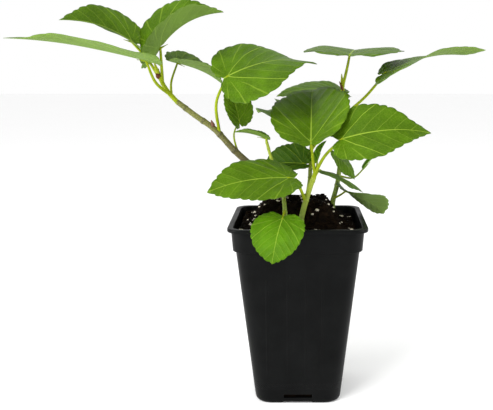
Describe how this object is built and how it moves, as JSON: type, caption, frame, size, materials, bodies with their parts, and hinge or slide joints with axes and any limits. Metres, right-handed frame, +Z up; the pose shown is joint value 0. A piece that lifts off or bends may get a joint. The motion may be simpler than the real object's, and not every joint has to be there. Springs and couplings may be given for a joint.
{
  "type": "potted fig plant",
  "caption": "Young fig with several slender shoots and broad toothed leaves, rooted in a deep square tapered nursery pot of potting mix.",
  "frame": {"origin": "centre of the pot's flat underside, at ground level", "axes": "+Z up, -Y the pot's front side, +X to the right seen from the front"},
  "size_m": [0.2551, 0.1346, 0.2263],
  "materials": {
    "pot": "satin near-black moulded plastic",
    "soil": "crumbly moist potting mix with pale grains",
    "bark": "matt olive-brown young bark",
    "shoot": "satin yellow-green soft shoot",
    "leaf": "satin mid-green leaf with pale veins"
  },
  "bodies": {
    "root": {"pot": "pot", "soil": "soil", "left_stem": "bark", "front_shoot": "shoot", "right_shoot": "shoot", "front_left_shoot": "shoot", "rear_shoot": "shoot", "left_crown": "leaf", "middle_top": "leaf", "middle_hanging": "leaf", "front_crown": "leaf", "front_low": "leaf", "front_left_crown": "leaf", "rim_leaf": "leaf", "right_crown": "leaf", "right_far": "leaf", "right_inner": "leaf", "right_narrow": "leaf", "right_low": "leaf", "right_bud_leaf": "leaf", "rear_crown": "leaf"}
  },
  "joints": []
}
